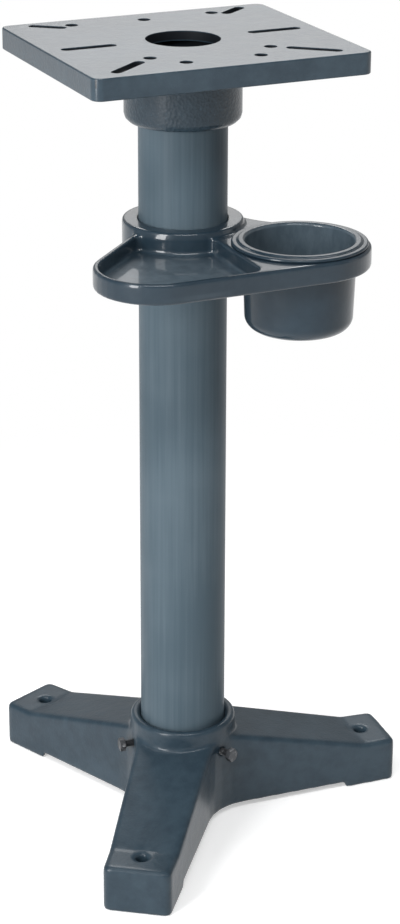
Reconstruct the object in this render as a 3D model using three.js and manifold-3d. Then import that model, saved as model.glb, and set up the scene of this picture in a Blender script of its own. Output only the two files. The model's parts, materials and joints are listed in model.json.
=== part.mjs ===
// Bench grinder stand: a cast tripod base, a plain round column, a cast top plate with a socket
// collar, and a cast tool tray with a lift-out water pot. Millimetres, +Z up.
import * as THREE from "three";
import { mergeVertices } from "three/addons/utils/BufferGeometryUtils.js";
import Module from "manifold-3d";

const wasm = await Module();
wasm.setup();

// Fits and facets
const RUN = 0.1; // radial clearance of a turning or sliding fit
const SEAT = 0.05; // gap left where one piece rests on another
const ROUND = 72; // facets of the large round pieces
const SMALL_ROUND = 24; // facets of bolt holes and screws
const PAST = 1; // how far a cut runs past the face it opens

// Column
const COLUMN_R = 44.5;
const COLUMN_WALL = 3;
const SOCKET_R = COLUMN_R + RUN;

// Base
const LEG_TURN = -5.2; // degrees from the plate's right-hand side to the first leg
const LEG_COUNT = 3;
const LEG_END = 235; // column axis to the end face of a leg
const LEG_ROOT_HALF = 42.5; // half width of a leg, taken back to the column axis
const LEG_END_HALF = 35;
const LEG_CORNER_R = 7;
const LEG_EDGE_R = 3.5;
const CROTCH_R = 58;
const PAD_TOP = 49;
const PAD_INNER = 198; // where the sloping top of a leg meets its flat pad
const LEG_SLOPE = 0.262;
const BASE_WALL = 7;
const FOOT_INNER = 180;
const FOOT_STEP = 6;
const ANCHOR_AT = 207;
const ANCHOR_R = 6.5;
const ANCHOR_BOSS_R = 13;
const SPOT_FACE_R = 16;
const HUB_R = 56;
const HUB_TOP = 108;
const HUB_EDGE_R = 3;
const HUB_CHAMFER = 4;
const LEDGE_TOP = 14; // where the column stands inside the hub
const LEDGE_R = 37;
const BASE_SCREW_DROP = 31;
const BASE_SCREW_Z = HUB_TOP - BASE_SCREW_DROP;

// Top plate
const PLATE_TOP = 838;
const PLATE_X = 288;
const PLATE_Y = 252;
const PLATE_CORNER_R = 10;
const PLATE_EDGE_R = 1.6;
const SKIRT = 22;
const SKIRT_WALL = 9;
const PLATE_WEB = 10;
const BORE_R = 37;
const COLLAR_R = 58.5;
const COLLAR_HEIGHT = 81; // plate top to the lower end of the collar
const COLLAR_BOTTOM = PLATE_TOP - COLLAR_HEIGHT;
const COLLAR_ROUND = 9;
const COLLAR_FLARE = 6;
const COLLAR_SCREW_UP = 19;
const COLLAR_SCREW_Z = COLLAR_BOTTOM + COLLAR_SCREW_UP;
const COLLAR_SCREW_ANGLES = [21, 111];
const BOLT_HOLE_R = 6.5;
const SLOT_R = 5.5;
const SIDE_SLOT = { from: [70, 0], to: [127, 0] };
const FRONT_SLOT = { from: [75, -74.5], to: [118, -110] };
const BACK_SLOT = { from: [86, 91], to: [117, 115] };
const FRONT_CORNER_HOLE = [63, -65.5];
const BACK_CORNER_HOLE = [76.5, 101];
const FRONT_HOLE = [38.6, -95];
const BACK_HOLE = [0, 97];

// Tool tray and water pot
const TRAY_TOP = 652;
const TRAY_DEPTH = 21;
const TRAY_FLOOR = 5;
const TRAY_WALL = 6;
const TRAY_EDGE_R = 1.8;
const TRAY_FILLET = 4;
const TRAY_FRONT = -181; // outer face of the front wall
const TRAY_SIDE_OFFSET = 32; // column axis to the slanting left wall
const TRAY_CORNER_R = 60;
const TRAY_HUB_R = 61;
const TRAY_HUB_RISE = 6; // hub top above the tray's rim
const TRAY_HUB_HEIGHT = 46;
const TRAY_SCREW_DROP = 21;
const TRAY_SCREW_Z = TRAY_TOP - TRAY_SCREW_DROP;
const TRAY_SCREW_ANGLE = 90;
const RING_R = 70;
const POT_X = 75;
const POT_Y = TRAY_FRONT + RING_R;
const POT_HOLE_R = 57.5;
const POT_R = 56;
const POT_FOOT_R = 53.5;
const POT_WALL = 3;
const POT_HEIGHT = 91;
const POT_BOTTOM_R = 14;
const POT_LIP_R = 67;
const POT_LIP = 5;

// Screws
const SCREW_R = 4;
const SCREW_HOLE_R = SCREW_R + 0.05;
const SCREW_HEAD_AF = 13;
const SCREW_HEAD = 6;
const SCREW_OUT = 9; // bare shank between a hub and a screw head

const deg = THREE.MathUtils.degToRad;

function solid(geometry) {
  const bare = geometry.clone();
  bare.deleteAttribute("normal");
  bare.deleteAttribute("uv");
  const merged = mergeVertices(bare, 1e-4);
  const triVerts = new Uint32Array(merged.index.array);
  const vertProperties = merged.attributes.position.array;
  return new wasm.Manifold(new wasm.Mesh({ numProp: 3, vertProperties, triVerts }));
}

function geometryOf(body) {
  const mesh = body.getMesh();
  const geometry = new THREE.BufferGeometry();
  const points = new THREE.Float32BufferAttribute(mesh.vertProperties, mesh.numProp);
  geometry.setAttribute("position", points);
  geometry.setIndex(new THREE.BufferAttribute(mesh.triVerts, 1));
  const flat = geometry.toNonIndexed();
  flat.computeVertexNormals();
  return flat;
}

// A closed loop of corners [x, y, radius], each corner turned into an arc of short chords.
function roundedLoop(corners, stepDegrees) {
  const points = [];
  for (let i = 0; i < corners.length; i++) {
    const [x, y, r] = corners[i];
    const at = new THREE.Vector2(x, y);
    const before = corners[(i + corners.length - 1) % corners.length];
    const after = corners[(i + 1) % corners.length];
    const back = new THREE.Vector2(before[0], before[1]).sub(at).normalize();
    const ahead = new THREE.Vector2(after[0], after[1]).sub(at).normalize();
    if (!r) {
      points.push(at);
      continue;
    }
    const half = Math.acos(THREE.MathUtils.clamp(back.dot(ahead), -1, 1)) / 2;
    const middle = back.clone().add(ahead).normalize();
    const centre = at.clone().addScaledVector(middle, r / Math.sin(half));
    const start = at.clone().addScaledVector(back, r / Math.tan(half)).sub(centre);
    const sweep = (Math.PI - 2 * half) * Math.sign(back.cross(ahead)) * -1;
    const steps = Math.max(2, Math.ceil(Math.abs(sweep) / deg(stepDegrees)));
    for (let s = 0; s <= steps; s++) {
      const p = start.clone().rotateAround(new THREE.Vector2(), (sweep * s) / steps);
      points.push(p.add(centre));
    }
  }
  return new THREE.Shape(points);
}

// A straight prism between two heights, with its top and bottom edges rounded by edge.
function prism(shape, bottom, top, edge = 0) {
  const geometry = new THREE.ExtrudeGeometry(shape, {
    depth: top - bottom - 2 * edge,
    bevelEnabled: edge > 0,
    bevelThickness: edge,
    bevelSize: edge,
    bevelOffset: -edge,
    bevelSegments: 3,
    curveSegments: 10,
  });
  return geometry.translate(0, 0, bottom + edge);
}

// A closed profile of [radius, height] turned about the column's axis.
function turned(profile, facets = ROUND) {
  const points = profile.map(([r, z]) => new THREE.Vector2(r, z));
  points.push(points[0].clone());
  return new THREE.LatheGeometry(points, facets).rotateX(Math.PI / 2);
}

function rod(r, bottom, top, x = 0, y = 0, facets = SMALL_ROUND) {
  const geometry = new THREE.CylinderGeometry(r, r, top - bottom, facets);
  return geometry.rotateX(Math.PI / 2).translate(x, y, (top + bottom) / 2);
}

// A quarter round from one [radius, height] to another about a corner, as profile points.
function quarter(r, z, radius, from, steps) {
  const points = [];
  for (let s = 0; s <= steps; s++) {
    const a = deg(from + (90 * s) / steps);
    points.push([r + radius * Math.cos(a), z + radius * Math.sin(a)]);
  }
  return points;
}

function legHalf(along) {
  return LEG_ROOT_HALF + ((LEG_END_HALF - LEG_ROOT_HALF) * along) / LEG_END;
}

function legAngle(k) {
  return deg(LEG_TURN + (360 / LEG_COUNT) * k);
}

function inLeg(k, along, across) {
  const p = new THREE.Vector2(along, across);
  return p.rotateAround(new THREE.Vector2(), legAngle(k));
}

// Plan of the whole base: legs that narrow outwards, joined by wide hollow corners.
function basePlan() {
  const corners = [];
  const taper = (LEG_ROOT_HALF - LEG_END_HALF) / LEG_END;
  const crotch = LEG_ROOT_HALF / (Math.tan(Math.PI / LEG_COUNT) + taper);
  for (let k = 0; k < LEG_COUNT; k++) {
    const inner = inLeg(k, crotch, -legHalf(crotch));
    const right = inLeg(k, LEG_END, -LEG_END_HALF);
    const left = inLeg(k, LEG_END, LEG_END_HALF);
    corners.push([inner.x, inner.y, CROTCH_R]);
    corners.push([right.x, right.y, LEG_CORNER_R]);
    corners.push([left.x, left.y, LEG_CORNER_R]);
  }
  return roundedLoop(corners, 15);
}

// Tilts a body's flat top so that it falls outwards along leg k.
function slopeAlong(geometry, k) {
  const tilt = new THREE.Matrix4();
  const a = legAngle(k);
  tilt.makeShear(0, -LEG_SLOPE * Math.cos(a), 0, -LEG_SLOPE * Math.sin(a), 0, 0);
  return geometry.applyMatrix4(tilt);
}

// The hollow under leg k, one wall inside its sides, end and top.
function legHollow(k, deep) {
  const start = SOCKET_R;
  const end = LEG_END - BASE_WALL;
  const corners = [
    [start, -legHalf(start) + BASE_WALL, 0],
    [end, -legHalf(end) + BASE_WALL, LEG_CORNER_R],
    [end, legHalf(end) - BASE_WALL, LEG_CORNER_R],
    [start, legHalf(start) - BASE_WALL, 0],
  ].map(([along, across, r]) => {
    const p = inLeg(k, along, across);
    return [p.x, p.y, r];
  });
  const plan = roundedLoop(corners, 30);
  const crest = PAD_TOP + LEG_SLOPE * PAD_INNER - BASE_WALL;
  const sloping = solid(slopeAlong(prism(plan, -deep, crest), k));
  const level = solid(prism(plan, -PAST, PAD_TOP - BASE_WALL));
  const anchor = inLeg(k, ANCHOR_AT, 0);
  const boss = solid(rod(ANCHOR_BOSS_R, -2 * deep, PLATE_TOP, anchor.x, anchor.y));
  return sloping.add(level).subtract(boss);
}

function baseCasting() {
  const plan = basePlan();
  const deep = LEG_SLOPE * LEG_END + PAST;
  const crest = PAD_TOP + LEG_SLOPE * PAD_INNER;
  const wide = 2 * LEG_END + PAST;
  const above = new THREE.BoxGeometry(wide, wide, 2 * HUB_TOP).translate(0, 0, HUB_TOP);
  let body = solid(above);
  for (let k = 0; k < LEG_COUNT; k++) {
    const sloping = slopeAlong(prism(plan, -deep - LEG_EDGE_R, crest, LEG_EDGE_R), k);
    body = body.intersect(solid(sloping));
  }
  const pads = solid(prism(plan, -deep, PAD_TOP, LEG_EDGE_R)).intersect(solid(above));
  body = body.add(pads);
  const boss = solid(turned([
    [0, 0],
    [HUB_R, 0],
    ...quarter(HUB_R - HUB_EDGE_R, HUB_TOP - HUB_EDGE_R, HUB_EDGE_R, 0, 3),
    [0, HUB_TOP],
  ]));
  for (let k = 0; k < LEG_COUNT; k++) {
    body = body.subtract(legHollow(k, deep).subtract(boss));
  }
  body = body.add(boss);
  body = body.subtract(solid(turned([
    [0, -PAST],
    [LEDGE_R, -PAST],
    [LEDGE_R, LEDGE_TOP],
    [SOCKET_R, LEDGE_TOP],
    [SOCKET_R, HUB_TOP - HUB_CHAMFER],
    [SOCKET_R + HUB_CHAMFER, HUB_TOP],
    [SOCKET_R + HUB_CHAMFER, HUB_TOP + PAST],
    [0, HUB_TOP + PAST],
  ])));
  body = body.subtract(solid(rod(FOOT_INNER, -PAST, FOOT_STEP, 0, 0, ROUND)));
  for (let k = 0; k < LEG_COUNT; k++) {
    const at = inLeg(k, ANCHOR_AT, 0);
    body = body.subtract(solid(rod(ANCHOR_R, -PAST, HUB_TOP, at.x, at.y)));
    body = body.subtract(solid(rod(SPOT_FACE_R, PAD_TOP, HUB_TOP, at.x, at.y, 2 * SMALL_ROUND)));
    body = body.subtract(screwHole(baseScrewAngle(k), BASE_SCREW_Z, HUB_R));
  }
  return geometryOf(body);
}

function baseScrewAngle(k) {
  return LEG_TURN + (360 / LEG_COUNT) * (k + 0.5);
}

// Lays a piece made along +X from the column's axis at an angle round it and at a height.
function radial(geometry, angle, z) {
  return geometry.rotateZ(deg(angle)).translate(0, 0, z);
}

function screwHole(angle, z, hubR) {
  const length = 2 * hubR - SOCKET_R;
  const hole = new THREE.CylinderGeometry(SCREW_HOLE_R, SCREW_HOLE_R, length, SMALL_ROUND);
  hole.rotateZ(Math.PI / 2).translate(COLUMN_R - PAST + length / 2, 0, 0);
  return solid(radial(hole, angle, z));
}

// A hexagon-head set screw whose tip bears on the column.
function setScrew(angle, z, hubR) {
  const tip = COLUMN_R + SEAT;
  const seat = hubR + SCREW_OUT;
  const chamfer = SCREW_R / 6;
  const shank = new THREE.LatheGeometry(
    [
      [0, tip],
      [SCREW_R - chamfer, tip],
      [SCREW_R, tip + chamfer],
      [SCREW_R, seat + SCREW_HEAD / 2],
      [0, seat + SCREW_HEAD / 2],
    ].map(([r, along]) => new THREE.Vector2(r, along)),
    SMALL_ROUND,
  );
  const corner = SCREW_HEAD_AF / 2 / Math.cos(Math.PI / 6);
  const head = new THREE.CylinderGeometry(corner, corner, SCREW_HEAD, 6);
  head.translate(0, seat + SCREW_HEAD / 2, 0);
  const dome = new THREE.CylinderGeometry(
    SCREW_HEAD_AF / 2 - chamfer,
    SCREW_HEAD_AF / 2 + SCREW_HEAD * 2,
    SCREW_HEAD * 2,
    SMALL_ROUND,
  ).translate(0, seat, 0);
  const body = solid(head).intersect(solid(dome)).add(solid(shank));
  return radial(geometryOf(body).rotateZ(-Math.PI / 2), angle, z);
}

function columnTube() {
  const inner = COLUMN_R - COLUMN_WALL;
  const bottom = LEDGE_TOP + SEAT;
  const top = PLATE_TOP - PLATE_WEB - SEAT;
  return turned([
    [inner, bottom],
    [COLUMN_R, bottom],
    [COLUMN_R, top],
    [inner, top],
  ]);
}

function platePlan(inset) {
  const x = PLATE_X / 2 - inset;
  const y = PLATE_Y / 2 - inset;
  const r = Math.max(PLATE_CORNER_R - inset / 2, 2);
  return roundedLoop([[-x, -y, r], [x, -y, r], [x, y, r], [-x, y, r]], 15);
}

// A round-ended slot from one end to the other, cut through the plate.
function slotCut({ from, to }, mirror) {
  const a = new THREE.Vector2(from[0] * mirror, from[1]);
  const b = new THREE.Vector2(to[0] * mirror, to[1]);
  const length = a.distanceTo(b);
  const plan = roundedLoop([
    [0, -SLOT_R, SLOT_R],
    [length, -SLOT_R, SLOT_R],
    [length, SLOT_R, SLOT_R],
    [0, SLOT_R, SLOT_R],
  ], 18);
  const cut = prism(plan, PLATE_TOP - SKIRT, PLATE_TOP + PAST);
  return solid(cut.rotateZ(b.sub(a).angle()).translate(a.x, a.y, 0));
}

function topPlate() {
  const webUnder = PLATE_TOP - PLATE_WEB;
  const skirtBottom = PLATE_TOP - SKIRT;
  let body = solid(prism(platePlan(0), skirtBottom, PLATE_TOP, PLATE_EDGE_R));
  body = body.subtract(solid(prism(platePlan(SKIRT_WALL), skirtBottom - PAST, webUnder)));
  body = body.add(solid(turned([
    [0, COLLAR_BOTTOM],
    ...quarter(COLLAR_R - COLLAR_ROUND, COLLAR_BOTTOM + COLLAR_ROUND, COLLAR_ROUND, -90, 3),
    [COLLAR_R, webUnder - COLLAR_FLARE],
    [COLLAR_R + COLLAR_FLARE, webUnder],
    [COLLAR_R + COLLAR_FLARE, webUnder + PAST],
    [0, webUnder + PAST],
  ])));
  body = body.subtract(solid(turned([
    [0, COLLAR_BOTTOM - PAST],
    [SOCKET_R, COLLAR_BOTTOM - PAST],
    [SOCKET_R, webUnder],
    [BORE_R, webUnder],
    [BORE_R, PLATE_TOP + PAST],
    [0, PLATE_TOP + PAST],
  ])));
  for (const mirror of [-1, 1]) {
    for (const slot of [SIDE_SLOT, FRONT_SLOT, BACK_SLOT]) {
      body = body.subtract(slotCut(slot, mirror));
    }
    for (const [x, y] of [FRONT_CORNER_HOLE, BACK_CORNER_HOLE, FRONT_HOLE]) {
      const hole = rod(BOLT_HOLE_R, skirtBottom, PLATE_TOP + PAST, mirror * x, y);
      body = body.subtract(solid(hole));
    }
  }
  const [backX, backY] = BACK_HOLE;
  body = body.subtract(solid(rod(BOLT_HOLE_R, skirtBottom, PLATE_TOP + PAST, backX, backY)));
  for (const angle of COLLAR_SCREW_ANGLES) {
    body = body.subtract(screwHole(angle, COLLAR_SCREW_Z, COLLAR_R));
  }
  return geometryOf(body);
}

// The fan of the tray: slanting left wall, wide left corner, straight front, then the pot ring.
function fanPlan() {
  const nearHub = TRAY_SIDE_OFFSET / Math.SQRT2;
  const slant = TRAY_SIDE_OFFSET * Math.SQRT2;
  return roundedLoop([
    [-nearHub, nearHub, 0],
    [TRAY_FRONT - slant, TRAY_FRONT, TRAY_CORNER_R],
    [POT_X, TRAY_FRONT, 0],
    [POT_X, POT_Y, 0],
  ], 9);
}

// The dished part of the tray, one wall inside the fan and clear of the hub and the pot ring.
function dishPlan() {
  const offset = TRAY_SIDE_OFFSET - TRAY_WALL;
  const slant = offset * Math.SQRT2;
  const front = TRAY_FRONT + TRAY_WALL;
  const right = POT_X - RING_R;
  const hubClear = TRAY_HUB_R + PAST;
  const chord = Math.sqrt(hubClear ** 2 - offset ** 2);
  const leftX = -(offset + chord) / Math.SQRT2;
  const leftY = (offset - chord) / Math.SQRT2;
  const rightY = -Math.sqrt(hubClear ** 2 - right ** 2);
  const from = Math.atan2(rightY, right);
  const to = Math.atan2(leftY, leftX);
  const steps = 8;
  const round = [];
  for (let s = 1; s < steps; s++) {
    const a = from + ((to - from) * s) / steps;
    round.push([hubClear * Math.cos(a), hubClear * Math.sin(a), 0]);
  }
  return roundedLoop([
    [leftX, leftY, TRAY_FILLET * 1.5],
    [front - slant, front, TRAY_CORNER_R - TRAY_WALL],
    [right, front, TRAY_FILLET * 3],
    [right, rightY, TRAY_FILLET * 1.5],
    ...round,
  ], 9);
}

// The flat bridge between the hub and the pot ring, hollow on its outer edge.
function bridgePlan() {
  const shape = new THREE.Shape();
  const ringBack = new THREE.Vector2(POT_X, POT_Y);
  ringBack.add(new THREE.Vector2(RING_R, 0).rotateAround(new THREE.Vector2(), deg(50)));
  const hubSide = new THREE.Vector2(TRAY_HUB_R, 0).rotateAround(new THREE.Vector2(), deg(18));
  shape.moveTo(0, 0);
  shape.lineTo(POT_X, POT_Y);
  shape.lineTo(ringBack.x, ringBack.y);
  shape.quadraticCurveTo(TRAY_HUB_R + PAST, ringBack.y / 2, hubSide.x, hubSide.y);
  return shape;
}

function toolTray() {
  const bottom = TRAY_TOP - TRAY_DEPTH;
  const hubTop = TRAY_TOP + TRAY_HUB_RISE;
  const hubBottom = hubTop - TRAY_HUB_HEIGHT;
  const edge = TRAY_EDGE_R;
  let body = solid(prism(fanPlan(), bottom, TRAY_TOP, edge));
  body = body.add(solid(prism(bridgePlan(), bottom, TRAY_TOP, edge)));
  const ring = turned([
    [0, bottom],
    ...quarter(RING_R - edge, bottom + edge, edge, -90, 3),
    ...quarter(RING_R - edge, TRAY_TOP - edge, edge, 0, 3),
    [0, TRAY_TOP],
  ]).translate(POT_X, POT_Y, 0);
  body = body.add(solid(ring));
  body = body.add(solid(turned([
    [0, hubBottom],
    ...quarter(TRAY_HUB_R - edge, hubBottom + edge, edge, -90, 3),
    ...quarter(TRAY_HUB_R - edge, hubTop - edge, edge, 0, 3),
    [0, hubTop],
  ])));
  const floor = TRAY_TOP - TRAY_DEPTH + TRAY_FLOOR;
  body = body.subtract(solid(prism(dishPlan(), floor, TRAY_TOP + 2 * TRAY_FILLET, TRAY_FILLET)));
  body = body.subtract(solid(rod(SOCKET_R, hubBottom - PAST, hubTop + PAST, 0, 0, ROUND)));
  const potHole = rod(POT_HOLE_R, bottom - PAST, TRAY_TOP + PAST, POT_X, POT_Y, ROUND);
  body = body.subtract(solid(potHole));
  body = body.subtract(screwHole(TRAY_SCREW_ANGLE, TRAY_SCREW_Z, TRAY_HUB_R));
  return geometryOf(body);
}

function waterPot() {
  const under = TRAY_TOP + SEAT;
  const top = under + POT_LIP;
  const bottom = top - POT_HEIGHT;
  const inside = POT_R - POT_WALL;
  const lipEdge = POT_LIP / 2;
  return turned([
    [0, bottom],
    ...quarter(POT_FOOT_R - POT_BOTTOM_R, bottom + POT_BOTTOM_R, POT_BOTTOM_R, -90, 5),
    [POT_R, under],
    [POT_LIP_R - lipEdge / 2, under],
    ...quarter(POT_LIP_R - lipEdge, top - lipEdge, lipEdge, 0, 4),
    ...quarter(inside + lipEdge, top - lipEdge, lipEdge, 90, 3),
    [POT_FOOT_R - POT_WALL, bottom + POT_BOTTOM_R],
    ...quarter(POT_FOOT_R - POT_BOTTOM_R, bottom + POT_BOTTOM_R, POT_BOTTOM_R - POT_WALL, 270, 4)
      .reverse()
      .slice(1),
    [0, bottom + POT_WALL],
  ], 60).translate(POT_X, POT_Y, 0);
}

const PAINT = { color: 0x4d5963, roughness: 0.42, metalness: 0.1 };
const CAST_PAINT = { color: 0x475460, roughness: 0.5, metalness: 0.1 };
const DARK_STEEL = { color: 0x24282c, roughness: 0.38, metalness: 0.8 };

const stand = new THREE.Group();
stand.name = "bench_grinder_stand";

function place(name, geometry, look) {
  const mesh = new THREE.Mesh(geometry, new THREE.MeshStandardMaterial({ ...look, name }));
  mesh.name = name;
  stand.add(mesh);
}

place("base_casting", baseCasting(), CAST_PAINT);
place("column_tube", columnTube(), PAINT);
place("top_plate", topPlate(), CAST_PAINT);
place("tool_tray", toolTray(), PAINT);
place("water_pot", waterPot(), PAINT);
place("base_screw_right", setScrew(baseScrewAngle(2), BASE_SCREW_Z, HUB_R), DARK_STEEL);
place("base_screw_left", setScrew(baseScrewAngle(1), BASE_SCREW_Z, HUB_R), DARK_STEEL);
place("base_screw_rear", setScrew(baseScrewAngle(0), BASE_SCREW_Z, HUB_R), DARK_STEEL);
place("collar_screw_right", setScrew(COLLAR_SCREW_ANGLES[0], COLLAR_SCREW_Z, COLLAR_R), DARK_STEEL);
place("collar_screw_left", setScrew(COLLAR_SCREW_ANGLES[1], COLLAR_SCREW_Z, COLLAR_R), DARK_STEEL);
place("tray_screw", setScrew(TRAY_SCREW_ANGLE, TRAY_SCREW_Z, TRAY_HUB_R), DARK_STEEL);

// The frame's origin is the middle of the stand's box on the floor.
const box = new THREE.Box3().setFromObject(stand);
const middle = box.getCenter(new THREE.Vector3());
for (const mesh of stand.children) {
  mesh.geometry.translate(-middle.x, -middle.y, 0);
}

export default stand;
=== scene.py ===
"""Bench grinder stand: finished pieces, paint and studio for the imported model."""
import json
from contextlib import contextmanager
from math import cos, pi, radians, sin, sqrt

import bmesh
import bpy
from bpy.props import FloatProperty, FloatVectorProperty, IntProperty, PointerProperty
from mathutils import Matrix, Vector

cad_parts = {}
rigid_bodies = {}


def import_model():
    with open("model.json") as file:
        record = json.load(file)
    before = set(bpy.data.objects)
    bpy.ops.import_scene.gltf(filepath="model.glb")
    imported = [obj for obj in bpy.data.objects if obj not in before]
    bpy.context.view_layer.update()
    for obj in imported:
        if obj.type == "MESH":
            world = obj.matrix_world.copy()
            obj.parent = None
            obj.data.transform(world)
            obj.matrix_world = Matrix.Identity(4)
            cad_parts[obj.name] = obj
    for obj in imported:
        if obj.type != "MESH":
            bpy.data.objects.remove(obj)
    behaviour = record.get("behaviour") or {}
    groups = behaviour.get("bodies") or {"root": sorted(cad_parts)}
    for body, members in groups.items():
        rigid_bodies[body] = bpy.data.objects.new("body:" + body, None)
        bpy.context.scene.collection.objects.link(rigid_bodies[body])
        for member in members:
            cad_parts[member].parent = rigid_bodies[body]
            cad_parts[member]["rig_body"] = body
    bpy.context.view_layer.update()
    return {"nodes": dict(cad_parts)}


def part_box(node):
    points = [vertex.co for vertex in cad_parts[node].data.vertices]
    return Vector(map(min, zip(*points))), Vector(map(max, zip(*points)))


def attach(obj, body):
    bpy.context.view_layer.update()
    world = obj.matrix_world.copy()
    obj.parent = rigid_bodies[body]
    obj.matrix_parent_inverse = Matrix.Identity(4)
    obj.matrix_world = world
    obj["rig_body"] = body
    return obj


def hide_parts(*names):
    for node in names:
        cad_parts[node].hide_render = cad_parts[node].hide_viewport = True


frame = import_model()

bl_info = {
    "name": "Bench grinder stand",
    "version": (1, 0, 0),
    "blender": (4, 5, 0),
    "location": "3D View > Sidebar > Stand",
    "description": "Builds the visible pieces of a cast bench grinder stand and its studio",
    "category": "Object",
}

TUBE_LOW, TUBE_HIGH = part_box("column_tube")
POT_LOW, POT_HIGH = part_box("water_pot")
PLATE_LOW, PLATE_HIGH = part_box("top_plate")
AXIS = (TUBE_LOW + TUBE_HIGH) / 2
TUBE_R = (TUBE_HIGH.x - TUBE_LOW.x) / 2
POT_AXIS = (POT_LOW + POT_HIGH) / 2
POT_LIP_R = (POT_HIGH.x - POT_LOW.x) / 2
TRAY_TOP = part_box("tool_tray")[1].z
HUB_RISE = 0.006  # the tray's hub stands above its rim
DISH_DEPTH = 0.016
DISH = Vector((AXIS.x - 0.060, AXIS.y - 0.112, TRAY_TOP - HUB_RISE - DISH_DEPTH))
PHOTO_PLACE = (-0.99378, -2.16664, 1.35246)
PHOTO_TURN = (70.2528, -0.1684, -24.2691)  # tilt, roll and heading in degrees
PHOTO_LENS = 95.990  # in millimetres, on film as wide as the next value
PHOTO_FILM = 36.0
PHOTO_SHIFT = -0.1093
FLOOR_RADIUS = 14.0
FLOOR_GAP = 0.0002  # keeps the floor just clear of the feet
SAME_POINT = 0.00001  # points nearer than this are one
THREAD_DEPTH = 0.61  # both as shares of the pitch
THREAD_CREST = 0.16
CROWN_SPREAD = 1.7320  # both as shares of a screw head's height
CROWN_REACH = 1.05
SCREWS = [name for name in frame["nodes"] if "_screw" in name]


class StandSizes(bpy.types.PropertyGroup):
    """Sizes of the finishing details."""

    base_grain: FloatProperty(
        name="Base edges",
        description="Rounding of the edges and corners of the base",
        default=0.0013,
        unit="LENGTH",
    )
    tray_grain: FloatProperty(
        name="Tray edges",
        description="Rounding of the edges and corners of the tray",
        default=0.0013,
        unit="LENGTH",
    )
    tube_wall: FloatProperty(
        name="Tube wall",
        description="Wall of the column tube",
        default=0.003,
        unit="LENGTH",
    )
    tube_ease: FloatProperty(
        name="Tube ends",
        description="Rounding of the ends of the column tube",
        default=0.0006,
        precision=4,
        unit="LENGTH",
    )
    pot_wall: FloatProperty(
        name="Pot wall",
        description="Wall of the water pot",
        default=0.003,
        unit="LENGTH",
    )
    pot_radius: FloatProperty(
        name="Pot radius",
        description="Radius of the water pot below its lip",
        default=0.056,
        unit="LENGTH",
    )
    pot_foot: FloatProperty(
        name="Pot foot",
        description="Radius of the water pot at its foot",
        default=0.0535,
        precision=4,
        unit="LENGTH",
    )
    pot_heel: FloatProperty(
        name="Pot heel",
        description="Rounding between the pot's wall and its bottom",
        default=0.014,
        unit="LENGTH",
    )
    lip_height: FloatProperty(
        name="Lip height",
        description="Height of the water pot's lip",
        default=0.005,
        unit="LENGTH",
    )
    thread_pitch: FloatProperty(
        name="Thread pitch",
        description="Pitch of the screw threads",
        default=0.00125,
        precision=5,
        unit="LENGTH",
    )
    shank_radius: FloatProperty(
        name="Shank radius",
        description="Radius of a screw over its thread",
        default=0.00395,
        precision=5,
        unit="LENGTH",
    )
    head_across: FloatProperty(
        name="Head across flats",
        description="Width of a screw head across its flats",
        default=0.013,
        unit="LENGTH",
    )
    head_height: FloatProperty(
        name="Head height",
        description="Height of a screw head",
        default=0.006,
        unit="LENGTH",
    )
    round_steps: IntProperty(
        name="Round steps",
        description="Faces round the tube and the pot",
        default=144,
        min=24,
    )


class StandColours(bpy.types.PropertyGroup):
    """Colours of the paint, the steel and the floor."""

    enamel: FloatVectorProperty(
        name="Enamel",
        description="Slate enamel on the castings and the pot",
        subtype="COLOR",
        default=(0.020, 0.036, 0.051),
    )
    enamel_thin: FloatVectorProperty(
        name="Thin enamel",
        description="Paler tone where the enamel lies thin",
        subtype="COLOR",
        default=(0.034, 0.056, 0.075),
    )
    tube: FloatVectorProperty(
        name="Tube enamel",
        description="Paler slate enamel on the column",
        subtype="COLOR",
        default=(0.063, 0.092, 0.114),
    )
    tube_thin: FloatVectorProperty(
        name="Thin tube enamel",
        description="Where the enamel lies thin on the column",
        subtype="COLOR",
        default=(0.092, 0.125, 0.150),
    )
    # Near-black painted shade in the plate's holes and bore and inside the column
    painted_hole_shade: FloatVectorProperty(
        name="Dark iron",
        description="Unpainted walls of the plate's holes and the inside of the column",
        subtype="COLOR",
        default=(0.006, 0.008, 0.011),
    )
    gloss: FloatVectorProperty(
        name="Thick enamel",
        description="Deeper tone of the thick glossy enamel on the tray and the pot",
        subtype="COLOR",
        default=(0.014, 0.027, 0.040),
    )
    # Pale tone of the painted sheen on the tray's dish floor and of the painted light inside the
    # pot
    painted_sheen: FloatVectorProperty(
        name="Dulled enamel",
        description="Where tools or water have dulled the tray and the pot",
        subtype="COLOR",
        default=(0.105, 0.140, 0.168),
    )
    steel: FloatVectorProperty(
        name="Blackened steel",
        description="Screws, blackened",
        subtype="COLOR",
        default=(0.060, 0.064, 0.070),
    )
    steel_bare: FloatVectorProperty(
        name="Rubbed steel",
        description="Screws, where spanners have rubbed them bare",
        subtype="COLOR",
        default=(0.42, 0.43, 0.44),
    )
    floor: FloatVectorProperty(
        name="Floor",
        description="Pale studio floor",
        subtype="COLOR",
        default=(0.80, 0.80, 0.80),
    )


class Wire:
    """A shader socket that can stand in sums; each operator adds its Math node."""

    def __init__(self, paint, socket):
        self.paint = paint
        self.socket = socket

    def _math(self, operation, first, second):
        return self.paint.node("ShaderNodeMath", {"operation": operation}, {0: first, 1: second})

    def __add__(self, other):
        return self._math("ADD", self, other)

    __radd__ = __add__

    def __sub__(self, other):
        return self._math("SUBTRACT", self, other)

    def __rsub__(self, other):
        return self._math("SUBTRACT", other, self)

    def __mul__(self, other):
        return self._math("MULTIPLY", self, other)

    __rmul__ = __mul__

    def at_most(self, other):
        return self._math("MINIMUM", self, other)


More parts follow.
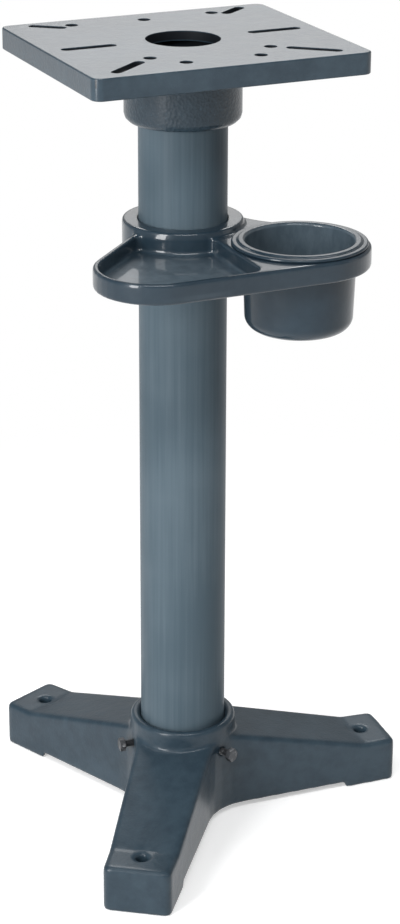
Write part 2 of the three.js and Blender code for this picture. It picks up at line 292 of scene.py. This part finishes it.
class Paint:
    """A node tree and the few nodes that its finishes are mixed from."""

    def __init__(self, tree):
        self.tree = tree
        tree.nodes.clear()

    def node(self, kind, settings=None, inputs=None, output=0):
        made = self.tree.nodes.new(kind)
        for name, value in (settings or {}).items():
            setattr(made, name, value)
        for key, value in (inputs or {}).items():
            if isinstance(value, Wire):
                self.tree.links.new(value.socket, made.inputs[key])
            else:
                made.inputs[key].default_value = value
        return Wire(self, made.outputs[output]) if made.outputs else made

    def place(self):
        return self.node("ShaderNodeTexCoord", output="Object")

    def noise(self, where, scale, detail=2.0, rough=0.5):
        values = {"Vector": where, "Scale": scale, "Detail": detail, "Roughness": rough}
        return self.node("ShaderNodeTexNoise", {"noise_dimensions": "3D"}, values, "Fac")

    def cells(self, where, scale):
        values = {"Vector": where, "Scale": scale}
        return self.node("ShaderNodeTexVoronoi", {"feature": "F1"}, values, "Distance")

    def stretched(self, where, scale):
        return self.node("ShaderNodeMapping", None, {"Vector": where, "Scale": scale})

    def between(self, value, low, high):
        settings = {"interpolation_type": "SMOOTHSTEP"}
        values = {"Value": value, "From Min": low, "From Max": high}
        return self.node("ShaderNodeMapRange", settings, values)

    def mixed(self, factor, first, second):
        """A colour between two; a Mix node's colours go in at 6 and 7 and come out at 2."""
        colours = {0: factor, 6: first, 7: second}
        return self.node("ShaderNodeMix", {"data_type": "RGBA"}, colours, 2)

    def vector(self, operation, *values, output=0):
        settings = {"operation": operation}
        return self.node("ShaderNodeVectorMath", settings, dict(enumerate(values)), output)

    def beside(self, where, middle):
        """How far a point lies from the upright line through middle."""
        aside = self.vector("SUBTRACT", where, middle)
        return self.vector("LENGTH", self.stretched(aside, (1.0, 1.0, 0.0)), output="Value")

    def rays(self, *kinds):
        """1 for rays of the given kinds, such as Camera or Glossy, and 0 for all others."""
        found = [self.node("ShaderNodeLightPath", output=f"Is {kind} Ray") for kind in kinds]
        return sum(found).at_most(1.0)

    def axis(self, where, letter):
        return self.node("ShaderNodeSeparateXYZ", None, {"Vector": where}, letter)

    def bump(self, height, distance, strength=1.0, under=None):
        values = {"Height": height, "Distance": distance, "Strength": strength}
        if under is not None:
            values["Normal"] = under
        return self.node("ShaderNodeBump", None, values)

    def surface(self, shader):
        self.node("ShaderNodeOutputMaterial", None, {"Surface": shader})


def rgba(colour):
    return (*colour, 1.0)


def new_paint(name):
    material = bpy.data.materials.new(name)
    material.use_nodes = True
    return material, Paint(material.node_tree)


def hole_walls(paint, where):
    """The walls of the plate's bore, holes and slots, inside its rim and below its top, where
    near-black painted shade goes.
    """
    middle = (PLATE_LOW + PLATE_HIGH) / 2
    half = (PLATE_HIGH - PLATE_LOW) / 2
    aside = paint.vector("ABSOLUTE", paint.vector("SUBTRACT", where, middle))
    edge, fade = 0.002, 0.001
    start = half - Vector((edge + fade, edge + fade, 0.0))
    within_x = 1 - paint.between(paint.axis(aside, "X"), start.x, start.x + fade)
    within_y = 1 - paint.between(paint.axis(aside, "Y"), start.y, start.y + fade)
    depth = PLATE_HIGH.z - paint.axis(where, "Z")
    below_top = paint.between(depth, 0.0004, 0.0012)
    above_underside = 1 - paint.between(depth, 0.0085, 0.0099)
    return within_x * within_y * below_top * above_underside


def cast_enamel(name, coat, rough_below=-1.0, rough_band=0.004, bare=None):
    """Brushed enamel on sand-cast iron, pebbled below rough_below, with near-black painted shade
    where bare says.
    """
    colours = bpy.context.scene.stand_colours
    material, paint = new_paint(name)
    where = paint.place()
    broad = paint.noise(where, 9.0, 3.0)
    mottle = paint.noise(where, 70.0, 4.0, 0.6)
    grain = paint.noise(where, 420.0, 3.0, 0.6)
    pebble = paint.cells(where, 330.0)
    height = paint.axis(where, "Z")
    raw = 1 - paint.between(height, rough_below - rough_band, rough_below + rough_band)
    thin = paint.between(broad * 0.55 + mottle * 0.45, 0.36, 0.68)
    speck = paint.between(grain, 0.58, 0.78) * (0.25 + raw * 0.75)
    tone = paint.mixed(thin, rgba(colours.enamel), rgba(colours.enamel_thin))
    worn = [min(1.0, channel * 2.1) for channel in colours.enamel_thin]
    tone = paint.mixed(speck * 0.45, tone, rgba(worn))
    gloss = 0.30 + mottle * 0.14 + raw * 0.10
    if bare is not None:
        # Near-black painted shade on the walls of the plate's holes, slots and bore
        painted_hole_shade = bare(paint, where)
        tone = paint.mixed(painted_hole_shade, tone, rgba(colours.painted_hole_shade))
        gloss = gloss + painted_hole_shade * 0.2
    skin = paint.bump(mottle + grain * 0.35, 0.0007, 0.55)
    skin = paint.bump(pebble * (0.12 + raw * 0.88), 0.0012, 0.6, skin)
    paint.surface(paint.node("ShaderNodeBsdfPrincipled", None, {
        "Base Color": tone,
        "Roughness": gloss,
        "Specular IOR Level": 0.18,
        "Coat Weight": coat,
        "Coat Roughness": 0.16,
        "Normal": skin,
    }))
    return material


def tube_enamel():
    """Smooth enamel on drawn tube, with faint lengthwise draw marks and near-black painted shade
    inside.
    """
    colours = bpy.context.scene.stand_colours
    material, paint = new_paint("tube_enamel")
    where = paint.place()
    broad = paint.noise(where, 6.0, 3.0)
    drawn = paint.noise(paint.stretched(where, (1.0, 1.0, 0.02)), 260.0, 3.0)
    peel = paint.noise(where, 520.0, 2.0)
    thin = paint.between(broad * 0.7 + drawn * 0.3, 0.38, 0.66)
    tone = paint.mixed(thin, rgba(colours.tube), rgba(colours.tube_thin))
    # Near-black painted shade inside the column
    inside = 1 - paint.between(paint.beside(where, AXIS), TUBE_R - 0.0020, TUBE_R - 0.0010)
    tone = paint.mixed(inside, tone, rgba(colours.painted_hole_shade))
    skin = paint.bump(peel + drawn * 0.5, 0.0003, 0.3)
    paint.surface(paint.node("ShaderNodeBsdfPrincipled", None, {
        "Base Color": tone,
        "Roughness": 0.36 + drawn * 0.12,
        "Specular IOR Level": 0.07,
        "Coat Weight": 0.06,
        "Coat Roughness": 0.20,
        "Normal": skin,
    }))
    return material


def dish_rubs_and_sheen(paint, where):
    """A painted sheen in a round patch on the floor of the tray's dish, broken up by tool rubs."""
    rubs = paint.noise(where, 70.0, 5.0, 0.65)
    near = 1 - paint.between(paint.beside(where, DISH), 0.040, 0.080)
    high = paint.axis(where, "Z")
    floor = paint.between(high, DISH.z - 0.002, DISH.z - 0.001)
    floor = floor - paint.between(high, DISH.z + 0.001, DISH.z + 0.004)
    return near * floor * (0.52 + paint.between(rubs, 0.35, 0.65) * 0.30)


def pot_inside_light(paint, where):
    """Painted light on the inside of the pot's wall above its floor, in upright streaks."""
    sizes = bpy.context.scene.stand_sizes
    lean = (sizes.pot_radius - sizes.pot_foot) / (POT_HIGH.z - POT_LOW.z)
    high = paint.axis(where, "Z")
    run = paint.noise(paint.stretched(where, (1.0, 1.0, 0.4)), 110.0, 4.0, 0.6)
    wall = sizes.pot_foot - sizes.pot_wall / 2 + (high - POT_LOW.z) * lean
    inside = 1 - paint.between(paint.beside(where, POT_AXIS) - wall, -0.0006, 0.0006)
    above = paint.between(high, POT_LOW.z + 0.009, POT_LOW.z + 0.013)
    return inside * above * (0.44 + paint.between(run, 0.30, 0.70) * 0.22)


def gloss_enamel(name, marks, coat):
    """Thick glossy enamel that flowed before it set, rougher and lightened by painted sheen where
    the marks lie.
    """
    colours = bpy.context.scene.stand_colours
    material, paint = new_paint(name)
    where = paint.place()
    broad = paint.noise(where, 12.0, 3.0)
    flow = paint.noise(where, 90.0, 2.0)
    peel = paint.noise(where, 480.0, 2.0)
    thin = paint.between(broad * 0.7 + flow * 0.3, 0.36, 0.68)
    tone = paint.mixed(thin, rgba(colours.gloss), rgba(colours.enamel))
    gloss = 0.26 + flow * 0.10
    # Painted light: a paler tone where the marks lie, with rougher enamel there too
    dull_and_sheen = marks(paint, where)
    tone = paint.mixed(dull_and_sheen, tone, rgba(colours.painted_sheen))
    gloss = gloss + dull_and_sheen * 0.12
    skin = paint.bump(flow, 0.0006, 0.35)
    skin = paint.bump(peel, 0.0002, 0.25, skin)
    paint.surface(paint.node("ShaderNodeBsdfPrincipled", None, {
        "Base Color": tone,
        "Roughness": gloss,
        "Specular IOR Level": 0.18,
        "Coat Weight": coat,
        "Coat Roughness": 0.06,
        "Normal": skin,
    }))
    return material


def screw_steel():
    """Blackened steel, rubbed bare in patches."""
    colours = bpy.context.scene.stand_colours
    material, paint = new_paint("screw_steel")
    where = paint.place()
    patch = paint.noise(where, 140.0, 3.0, 0.55)
    fine = paint.noise(where, 1900.0, 2.0)
    bare = paint.between(patch * 0.85 + fine * 0.15, 0.52, 0.74)
    tone = paint.mixed(bare, rgba(colours.steel), rgba(colours.steel_bare))
    paint.surface(paint.node("ShaderNodeBsdfPrincipled", None, {
        "Base Color": tone,
        "Metallic": 0.75 + bare * 0.25,
        "Roughness": 0.30 + fine * 0.12,
        "Normal": paint.bump(fine, 0.00005, 0.3),
    }))
    return material


def floor_finish():
    """Pale matt floor that fades to plain white away from the stand."""
    colours = bpy.context.scene.stand_colours
    material, paint = new_paint("studio_floor")
    where = paint.place()
    far = paint.vector("LENGTH", where, output="Value")
    fade = paint.between(far, 0.35, 1.1)
    tooth = paint.noise(where, 60.0, 3.0)
    tone = paint.mixed(tooth * 0.2, rgba(colours.floor), (0.76, 0.76, 0.76, 1.0))
    seen = paint.rays("Camera", "Glossy", "Transmission")
    matt = paint.node("ShaderNodeBsdfDiffuse", None, {"Color": tone})
    lift = paint.node("ShaderNodeEmission", None, {"Strength": seen * 0.45})
    lit = paint.node("ShaderNodeAddShader", None, {0: matt, 1: lift})
    white = paint.node("ShaderNodeEmission", None, {"Strength": 1.0})
    paint.surface(paint.node("ShaderNodeMixShader", None, {0: fade * seen, 1: lit, 2: white}))
    return material


def alone(piece):
    """Makes one object the only one selected."""
    bpy.ops.object.select_all(action="DESELECT")
    piece.select_set(True)
    bpy.context.view_layer.objects.active = piece


def deselect():
    """Leaves edit mode and selects nothing."""
    if bpy.context.object and bpy.context.object.mode != "OBJECT":
        bpy.ops.object.mode_set(mode="OBJECT")
    bpy.ops.object.select_all(action="DESELECT")


@contextmanager
def editing(piece):
    """Edit mode on one piece, with all of it selected at the start."""
    alone(piece)
    bpy.ops.object.mode_set(mode="EDIT")
    bpy.ops.mesh.select_all(action="SELECT")
    yield
    bpy.ops.object.mode_set(mode="OBJECT")


def applied(piece, kind, **settings):
    """Adds a modifier to a piece and applies it."""
    alone(piece)
    modifier = piece.modifiers.new(kind.title(), kind)
    for name, value in settings.items():
        setattr(modifier, name, value)
    bpy.ops.object.modifier_apply(modifier=modifier.name)


def settle(piece, name):
    """Puts an object's place into its mesh and gives it its name."""
    alone(piece)
    bpy.ops.object.transform_apply(location=True, rotation=True, scale=True)
    piece.name = name
    piece.data.name = name


def finished(piece, node, material, smooth=35.0):
    """Shades a piece, paints it and lets it stand for its node."""
    alone(piece)
    bpy.ops.object.shade_smooth_by_angle(angle=radians(smooth))
    keep_flats(piece)
    applied(piece, "WEIGHTED_NORMAL", weight=100, keep_sharp=True)
    piece.data.materials.clear()
    piece.data.materials.append(material)
    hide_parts(node)
    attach(piece, frame["nodes"][node]["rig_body"])


def merged_copy(node, name):
    """A copy of a casting's solid, its triangles joined into whole faces but for the underside."""
    piece = bpy.data.objects.new(name, frame["nodes"][node].data.copy())
    bpy.context.collection.objects.link(piece)
    with editing(piece):
        bpy.ops.mesh.customdata_custom_splitnormals_clear()
        bpy.ops.mesh.remove_doubles(threshold=SAME_POINT)
        bpy.ops.mesh.select_mode(type="FACE")
        bpy.ops.mesh.select_all(action="DESELECT")
        shape = bmesh.from_edit_mesh(piece.data)
        for face in shape.faces:
            face.select = face.normal.z > -0.5
        bmesh.update_edit_mesh(piece.data)
        bpy.ops.mesh.dissolve_limited(angle_limit=radians(0.3))
    return piece


def cast_round(piece, grain, passes, kept):
    """Rounds the edges and corners of a casting, and keeps a share of the faces that makes."""
    applied(piece, "REMESH", mode="VOXEL", voxel_size=grain)
    applied(piece, "SMOOTH", factor=0.5, iterations=passes)
    applied(piece, "DECIMATE", ratio=kept)


def keep_flats(piece, least=0.0003, bend=4.0):
    """Marks the edges between broad upward faces sharp, so that each shades flat."""
    shape = bmesh.new()
    shape.from_mesh(piece.data)
    for edge in shape.edges:
        faces = edge.link_faces
        if len(faces) != 2 or edge.calc_face_angle() < radians(bend):
            continue
        if all(face.normal.z > 0.7 and face.calc_area() > least for face in faces):
            edge.smooth = False
    shape.to_mesh(piece.data)
    shape.free()


def turned_cup(rings, centre, steps):
    """A solid of revolution, drawn up ring by ring from a disc as [radius, height]."""
    radius, height = rings[0]
    deselect()
    bpy.ops.mesh.primitive_circle_add(
        vertices=steps,
        radius=radius,
        fill_type="NGON",
        location=(centre.x, centre.y, height),
    )
    piece = bpy.context.object
    settle(piece, "cup")
    with editing(piece):
        for wide, high in rings[1:]:
            rise = {"value": (0.0, 0.0, high - height)}
            bpy.ops.mesh.extrude_region_move(TRANSFORM_OT_translate=rise)
            ratio = wide / radius
            middle = (centre.x, centre.y, high)
            bpy.ops.transform.resize(value=(ratio, ratio, 1.0), center_override=middle)
            radius, height = wide, high
        bpy.ops.mesh.select_all(action="SELECT")
        bpy.ops.mesh.normals_make_consistent(inside=False)
    return piece


def arc(r, z, radius, start, end, steps):
    """Points of an arc about [r, z], from one angle to another in degrees."""
    turn = (end - start) / steps
    angles = [radians(start + turn * i) for i in range(steps + 1)]
    return [(r + radius * cos(a), z + radius * sin(a)) for a in angles]


class STAND_OT_base(bpy.types.Operator):
    """Finish the tripod base casting."""

    bl_idname = "stand.base"
    bl_label = "Tripod base"

    def execute(self, context):
        piece = merged_copy("base_casting", "tripod_base")
        cast_round(piece, context.scene.stand_sizes.base_grain, passes=40, kept=0.40)
        finished(piece, "base_casting", cast_enamel("base_enamel", coat=0.22))
        return {"FINISHED"}


class STAND_OT_plate(bpy.types.Operator):
    """Finish the top plate and its collar."""

    bl_idname = "stand.plate"
    bl_label = "Top plate"

    def execute(self, context):
        piece = merged_copy("top_plate", "slotted_plate")
        skirt_end = PLATE_HIGH.z - 0.0225
        # The plate's holes, slots and bore get near-black painted shade
        paint = cast_enamel("plate_enamel", coat=0.5, rough_below=skirt_end, bare=hole_walls)
        finished(piece, "top_plate", paint)
        return {"FINISHED"}


class STAND_OT_tray(bpy.types.Operator):
    """Finish the tool tray with its hub and pot ring."""

    bl_idname = "stand.tray"
    bl_label = "Tool tray"

    def execute(self, context):
        piece = merged_copy("tool_tray", "tray_casting")
        cast_round(piece, context.scene.stand_sizes.tray_grain, passes=16, kept=0.75)
        # The dish floor gets a painted sheen
        paint = gloss_enamel("tray_enamel", dish_rubs_and_sheen, coat=0.6)
        finished(piece, "tool_tray", paint)
        return {"FINISHED"}


class STAND_OT_column(bpy.types.Operator):
    """Spin the column tube with eased ends."""

    bl_idname = "stand.column"
    bl_label = "Column tube"

    def execute(self, context):
        sizes = context.scene.stand_sizes
        tall = TUBE_HIGH.z - TUBE_LOW.z
        deselect()
        bpy.ops.mesh.primitive_plane_add(
            size=1.0,
            location=(AXIS.x + TUBE_R - sizes.tube_wall / 2, AXIS.y, AXIS.z),
            rotation=(pi / 2, 0.0, 0.0),
        )
        piece = context.object
        piece.scale = (sizes.tube_wall, tall, 1.0)
        settle(piece, "round_column")
        with editing(piece):
            bpy.ops.mesh.delete(type="ONLY_FACE")
            bpy.ops.mesh.select_all(action="SELECT")
            bpy.ops.mesh.bevel(offset=sizes.tube_ease, segments=2, affect="VERTICES")
            bpy.ops.mesh.select_all(action="SELECT")
            bpy.ops.mesh.spin(
                steps=sizes.round_steps,
                angle=2 * pi,
                center=AXIS,
                axis=(0.0, 0.0, 1.0),
            )
            bpy.ops.mesh.select_all(action="SELECT")
            bpy.ops.mesh.remove_doubles(threshold=SAME_POINT)
            bpy.ops.mesh.normals_make_consistent(inside=False)
        finished(piece, "column_tube", tube_enamel())
        return {"FINISHED"}


class STAND_OT_pot(bpy.types.Operator):
    """Draw up the water pot with its rolled lip."""

    bl_idname = "stand.pot"
    bl_label = "Water pot"

    def execute(self, context):
        sizes = context.scene.stand_sizes
        wall, heel = sizes.pot_wall, sizes.pot_heel
        body_r, foot_r = sizes.pot_radius, sizes.pot_foot
        low, top = POT_LOW.z, POT_HIGH.z
        under = top - sizes.lip_height
        brim = top - 0.0017
        outer_low, outer_high, groove = 0.0014, 0.0018, 0.0010
        roll_out, roll_in = 0.0022, 0.0034
        straight = under - 0.012
        middle_r = 0.006
        rings = [(middle_r, low)]
        rings += [(foot_r - heel - 0.006, low), (foot_r - heel - 0.004, low)]
        rings += arc(foot_r - heel, low + heel, heel, -90, 0, 10)
        rings += [(body_r - 0.0003, straight), (body_r, under)]
        rings += arc(POT_LIP_R - outer_low, under + outer_low, outer_low, -90, 0, 4)
        rings += arc(POT_LIP_R - outer_high, brim - outer_high, outer_high, 0, 90, 6)
        rings += arc(body_r + 0.0062, brim + groove, groove, 270, 200, 4)
        rings += arc(body_r + 0.0030, top - roll_out, roll_out, 35, 90, 5)
        rings += arc(body_r - wall + roll_in, top - roll_in, roll_in, 90, 180, 9)
        rings += [(body_r - wall, straight)]
        rings += arc(foot_r - heel, low + heel, heel - wall, 0, -90, 10)
        rings += [(middle_r, low + wall)]
        piece = turned_cup(rings, POT_AXIS, sizes.round_steps)
        settle(piece, "water_cup")
        # The inside of the pot gets painted light
        paint = gloss_enamel("pot_enamel", pot_inside_light, coat=0.45)
        finished(piece, "water_pot", paint)
        return {"FINISHED"}


def thread_outline(root, crest, pitch):
    """One turn of a thread in profile, from root to crest and back, open towards the axis."""
    deselect()
    bpy.ops.mesh.primitive_plane_add(size=pitch)
    outline = bpy.context.object
    with editing(outline):
        bpy.ops.mesh.select_mode(type="EDGE")
        bpy.ops.mesh.select_all(action="DESELECT")
        shape = bmesh.from_edit_mesh(outline.data)
        for edge in shape.edges:
            edge.select = all(point.co.x < 0 for point in edge.verts)
        bmesh.update_edit_mesh(outline.data)
        bpy.ops.mesh.delete(type="EDGE")
    for point in outline.data.vertices:
        inner, upper = point.co.x < 0, point.co.y > 0
        half = 0.5 if inner else THREAD_CREST / 2
        share = 0.5 + half if upper else 0.5 - half
        point.co = (root if inner else crest, 0.0, pitch * share)
    return outline


def threaded_shank(length, sizes):
    """A threaded rod along +Z, cut square at the origin and at its length."""
    pitch, crest = sizes.thread_pitch, sizes.shank_radius
    shank = thread_outline(crest - THREAD_DEPTH * pitch, crest, pitch)
    applied(
        shank,
        "SCREW",
        angle=2 * pi,
        screw_offset=pitch,
        iterations=int(length / pitch) + 3,
        steps=28,
        render_steps=28,
        use_merge_vertices=True,
        use_normal_calculate=True,
    )
    with editing(shank):
        bpy.ops.transform.translate(value=(0.0, 0.0, -1.5 * pitch))
        bpy.ops.mesh.remove_doubles(threshold=SAME_POINT / 2)
        for height, outer in ((0.0, False), (length, True)):
            bpy.ops.mesh.select_all(action="SELECT")
            bpy.ops.mesh.bisect(
                plane_co=(0.0, 0.0, height),
                plane_no=(0.0, 0.0, 1.0),
                use_fill=True,
                clear_inner=not outer,
                clear_outer=outer,
            )
        bpy.ops.mesh.select_all(action="SELECT")
        bpy.ops.mesh.normals_make_consistent(inside=False)
    return shank


def hexagon_head(length, sizes):
    """A hexagon head above length on +Z, its upper corners cut by a cone."""
    tall, half = sizes.head_height, sizes.head_across / 2
    deselect()
    bpy.ops.mesh.primitive_cone_add(
        vertices=48,
        radius1=half + tall * CROWN_SPREAD,
        radius2=half - 0.0004,
        depth=tall * CROWN_REACH,
        location=(0.0, 0.0, length + tall * (1.0 - CROWN_REACH / 2)),
    )
    crown = bpy.context.object
    deselect()
    bpy.ops.mesh.primitive_cylinder_add(
        vertices=6,
        radius=sizes.head_across / sqrt(3),
        depth=tall,
        location=(0.0, 0.0, length + tall / 2),
    )
    head = bpy.context.object
    applied(head, "BOOLEAN", operation="INTERSECT", object=crown, solver="EXACT")
    bpy.data.objects.remove(crown)
    applied(head, "BEVEL", width=0.0003, segments=2, limit_method="ANGLE", angle_limit=radians(20))
    settle(head, "screw_head")
    return head


def threaded_screw(length, sizes):
    """A hexagon-head screw along +Z: the tip at the origin, the head above length."""
    shank = threaded_shank(length + sizes.head_height / 2, sizes)
    screw = hexagon_head(length, sizes)
    alone(screw)
    shank.select_set(True)
    bpy.ops.object.join()
    return screw


class STAND_OT_screws(bpy.types.Operator):
    """Cut one threaded screw and set a copy in each hole."""

    bl_idname = "stand.screws"
    bl_label = "Set screws"

    def execute(self, context):
        sizes = context.scene.stand_sizes
        head = sizes.head_height
        steel = screw_steel()
        reach = {}
        for node in SCREWS:
            low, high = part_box(node)
            middle = (low + high) / 2
            away = Vector((middle.x - AXIS.x, middle.y - AXIS.y, 0.0)).normalized()
            points = frame["nodes"][node].data.vertices
            along = [(point.co - AXIS).dot(away) for point in points]
            reach[node] = (away, middle.z, min(along), max(along))
        longest = max(end - start for _, _, start, end in reach.values()) - head
        pattern = threaded_screw(longest, sizes)
        for node, (away, height, start, end) in reach.items():
            piece = bpy.data.objects.new(node + "_threaded", pattern.data.copy())
            context.collection.objects.link(piece)
            spare = longest + head - (end - start)
            turn = Vector((0.0, 0.0, 1.0)).rotation_difference(away).to_matrix().to_4x4()
            level = Vector((AXIS.x, AXIS.y, height))
            foot = Matrix.Translation(level + away * (start - spare))
            piece.data.transform(foot @ turn)
            if spare > SAME_POINT:
                with editing(piece):
                    bpy.ops.mesh.bisect(
                        plane_co=level + away * start,
                        plane_no=away,
                        use_fill=True,
                        clear_inner=True,
                    )
            finished(piece, node, steel, 25.0)
        bpy.data.objects.remove(pattern)
        return {"FINISHED"}


def soft_box(name, place, height, size, power):
    """A square-cornered lamp, aimed at the stand's axis at a height."""
    lamp = bpy.data.lights.new(name, "AREA")
    lamp.shape = "RECTANGLE"
    lamp.size, lamp.size_y = size
    lamp.energy = power
    holder = bpy.data.objects.new(name, lamp)
    bpy.context.collection.objects.link(holder)
    holder.location = place
    holder.visible_camera = False
    aim = Vector((0.0, 0.0, height)) - Vector(place)
    holder.rotation_euler = aim.to_track_quat("-Z", "Y").to_euler()


def white_room(world):
    """Even light from all round, white where it is seen, with a pale low band where mirrored."""
    world.use_nodes = True
    room = Paint(world.node_tree)
    seen = room.rays("Camera")
    mirrored = room.rays("Glossy", "Transmission")
    heading = room.node("ShaderNodeTexCoord", output="Generated")
    rise = room.axis(heading, "Z")
    ceiling = room.between(rise, 0.32, 0.60)
    low = 1 - room.between(rise, 0.04, 0.18)
    strength = 0.18 + seen * 0.82 + mirrored * (0.24 - ceiling * 0.14 - low * 0.14)
    white = (1.0, 1.0, 1.0, 1.0)
    sky = room.node("ShaderNodeBackground", None, {"Color": white, "Strength": strength})
    room.node("ShaderNodeOutputWorld", None, {"Surface": sky})


class STAND_OT_stage(bpy.types.Operator):
    """Set up the floor, the soft lights and the camera."""

    bl_idname = "stand.stage"
    bl_label = "Studio"

    def execute(self, context):
        scene = context.scene
        deselect()
        bpy.ops.mesh.primitive_circle_add(
            vertices=64,
            radius=FLOOR_RADIUS,
            fill_type="NGON",
            location=(0.0, 0.0, -FLOOR_GAP),
        )
        floor = context.object
        settle(floor, "studio_floor")
        floor.data.materials.append(floor_finish())
        scene.world = bpy.data.worlds.new("white_room")
        white_room(scene.world)
        soft_box("key_left", (-2.2, -1.1, 1.2), 0.45, (0.7, 2.0), 70.0)
        soft_box("fill_right", (2.2, -0.9, 1.3), 0.40, (0.8, 1.4), 2.5)
        soft_box("top_soft", (-0.3, 0.2, 2.4), 0.50, (1.2, 1.2), 9.0)
        soft_box("strip_front", (-0.5, -1.5, 2.5), 0.60, (1.6, 0.30), 32.0)
        soft_box("fill_back", (1.0, 2.3, 2.6), 0.50, (1.4, 1.0), 30.0)
        soft_box("back_low", (1.05, 2.40, 1.43), 0.80, (1.0, 0.6), 2.05)
        lens = bpy.data.cameras.new("photo_view")
        lens.sensor_width = PHOTO_FILM
        lens.lens = PHOTO_LENS
        lens.shift_y = PHOTO_SHIFT
        camera = bpy.data.objects.new("photo_view", lens)
        context.collection.objects.link(camera)
        camera.location = PHOTO_PLACE
        camera.rotation_euler = [radians(angle) for angle in PHOTO_TURN]
        scene.camera = camera
        scene.view_settings.view_transform = "Standard"
        return {"FINISHED"}


class STAND_PT_panel(bpy.types.Panel):
    """Lists the stand's pieces, sizes and colours."""

    bl_idname = "STAND_PT_panel"
    bl_label = "Grinder stand"
    bl_space_type = "VIEW_3D"
    bl_region_type = "UI"
    bl_category = "Stand"

    def draw(self, context):
        for operator in OPERATORS:
            self.layout.operator(operator.bl_idname)
        for group in (context.scene.stand_sizes, context.scene.stand_colours):
            for name in group.__annotations__:
                self.layout.prop(group, name)


OPERATORS = (
    STAND_OT_base,
    STAND_OT_column,
    STAND_OT_plate,
    STAND_OT_tray,
    STAND_OT_pot,
    STAND_OT_screws,
    STAND_OT_stage,
)
CLASSES = (StandSizes, StandColours, *OPERATORS, STAND_PT_panel)


def register():
    for entry in CLASSES:
        bpy.utils.register_class(entry)
    bpy.types.Scene.stand_sizes = PointerProperty(type=StandSizes)
    bpy.types.Scene.stand_colours = PointerProperty(type=StandColours)


def unregister():
    del bpy.types.Scene.stand_colours
    del bpy.types.Scene.stand_sizes
    for entry in reversed(CLASSES):
        bpy.utils.unregister_class(entry)


def main():
    register()
    bpy.ops.stand.base()
    bpy.ops.stand.column()
    bpy.ops.stand.plate()
    bpy.ops.stand.tray()
    bpy.ops.stand.pot()
    bpy.ops.stand.screws()
    bpy.ops.stand.stage()


if __name__ == "__main__":
    main()
